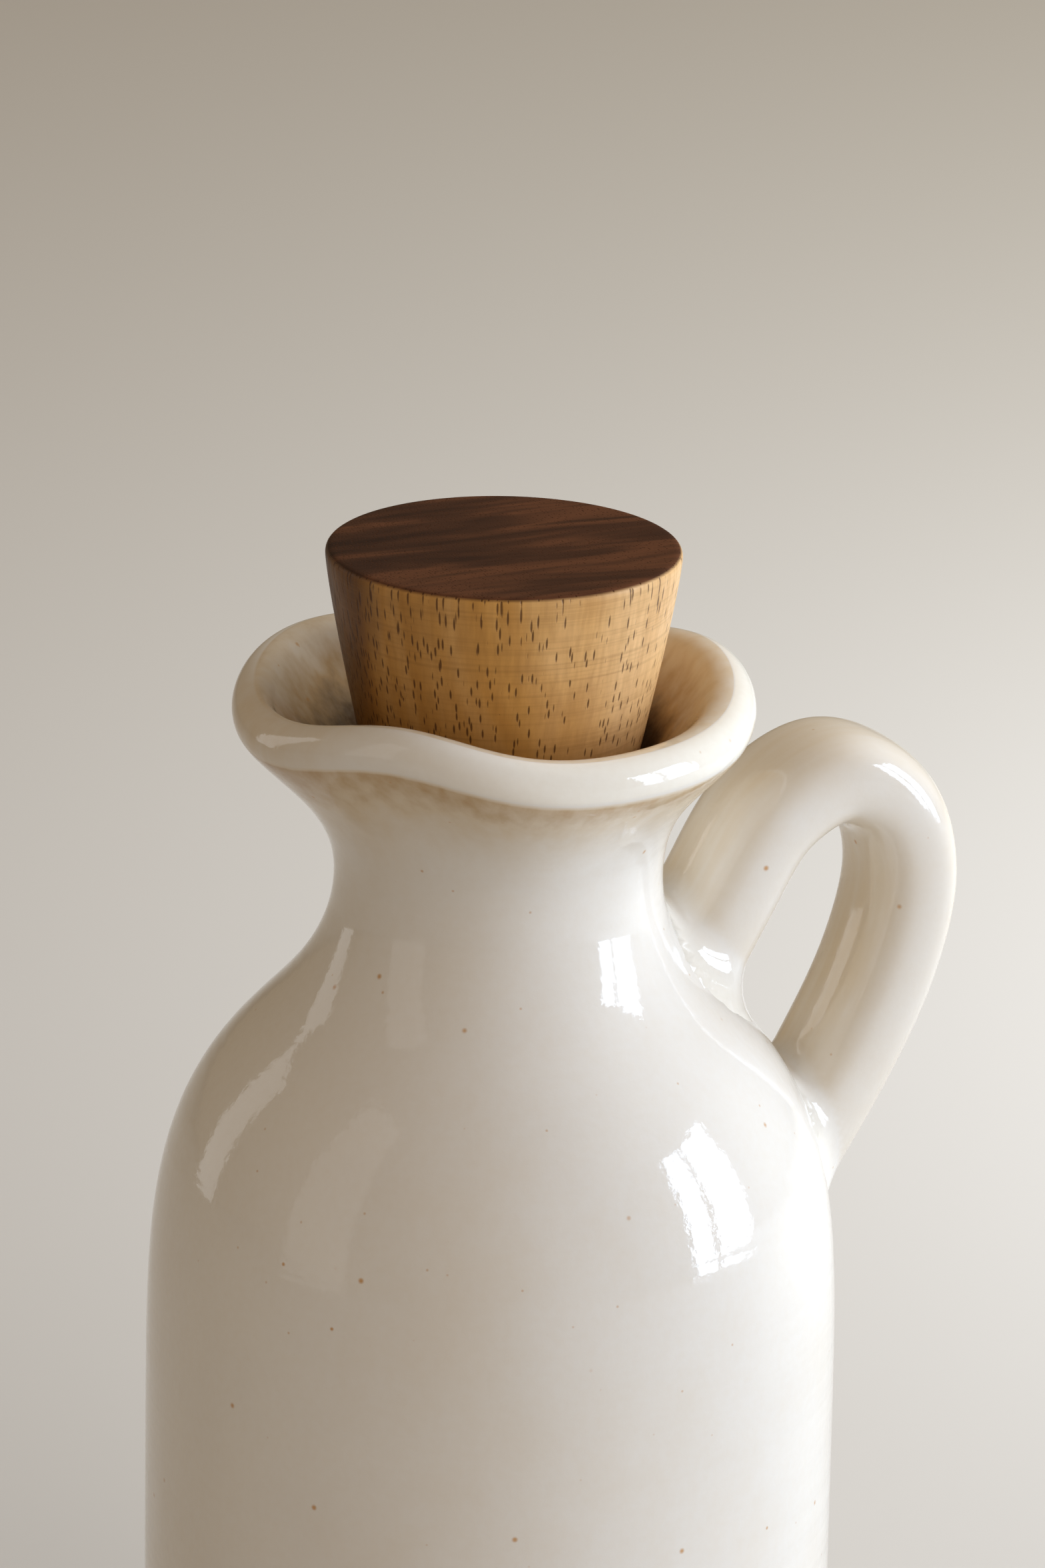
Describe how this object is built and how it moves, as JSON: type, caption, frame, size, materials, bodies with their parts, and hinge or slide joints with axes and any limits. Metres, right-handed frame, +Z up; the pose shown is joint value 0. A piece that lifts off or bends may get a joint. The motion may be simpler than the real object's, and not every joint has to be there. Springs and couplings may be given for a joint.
{
  "type": "cruet",
  "caption": "Round glazed stoneware cruet for oil or vinegar, with a pulled pouring lip, a looped strap handle and a tapered wooden stopper that lifts out.",
  "frame": {"origin": "on the bottle's axis, on the plane that the bottle stands on", "axes": "+Z up along the bottle's axis, +X towards the handle, so the pouring lip points to -X"},
  "size_m": [0.1068, 0.088, 0.176],
  "materials": {
    "bottle_glaze": "gloss",
    "handle_glaze": "gloss",
    "stopper_wood": "satin",
    "seal_silicone": "satin"
  },
  "bodies": {
    "bottle": {"bottle_body": "bottle_glaze", "strap_handle": "handle_glaze"},
    "seal": {"stopper_seal": "seal_silicone"},
    "stopper": {"stopper_plug": "stopper_wood"}
  },
  "joints": [
    {"name": "stopper_lift", "type": "slide", "parent": "bottle", "child": "seal", "axis": [0, 0, 1], "range_m": [0, 0.07]},
    {"name": "stopper_twist", "type": "hinge", "parent": "seal", "child": "stopper", "pos_m": [0, 0, 0.1388], "axis": [0, 0, 1], "continuous": true}
  ]
}
